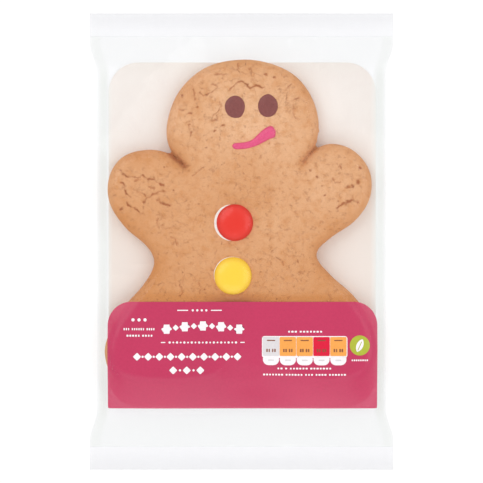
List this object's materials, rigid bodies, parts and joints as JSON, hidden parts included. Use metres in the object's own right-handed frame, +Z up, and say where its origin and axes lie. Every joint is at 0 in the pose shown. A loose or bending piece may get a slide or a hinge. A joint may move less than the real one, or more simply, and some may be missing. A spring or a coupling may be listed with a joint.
{
  "type": "gingerbread man cookie in a clear sealed bag",
  "caption": "Flat gingerbread man biscuit with an iced face and sugar-shelled sweets, on a card inside a sealed clear film bag with a pink print panel, lying face up.",
  "frame": {"origin": "middle of the bag's footprint, on the surface that it lies on", "axes": "+X across the bag to the viewer's right, +Y along it from the feet to the head, +Z up out of the shown side"},
  "size_m": [0.1216, 0.1828, 0.0124],
  "materials": {
    "clear_film": "clear gloss polypropylene film",
    "printed_film": "pink ink printed on film",
    "card": "uncoated cream board",
    "biscuit": "baked, dry and lightly cracked",
    "icing": "set piped icing",
    "sugar_shell": "polished sugar shell"
  },
  "bodies": {
    "root": {"sealed_bag": "clear_film"}
  },
  "joints": []
}
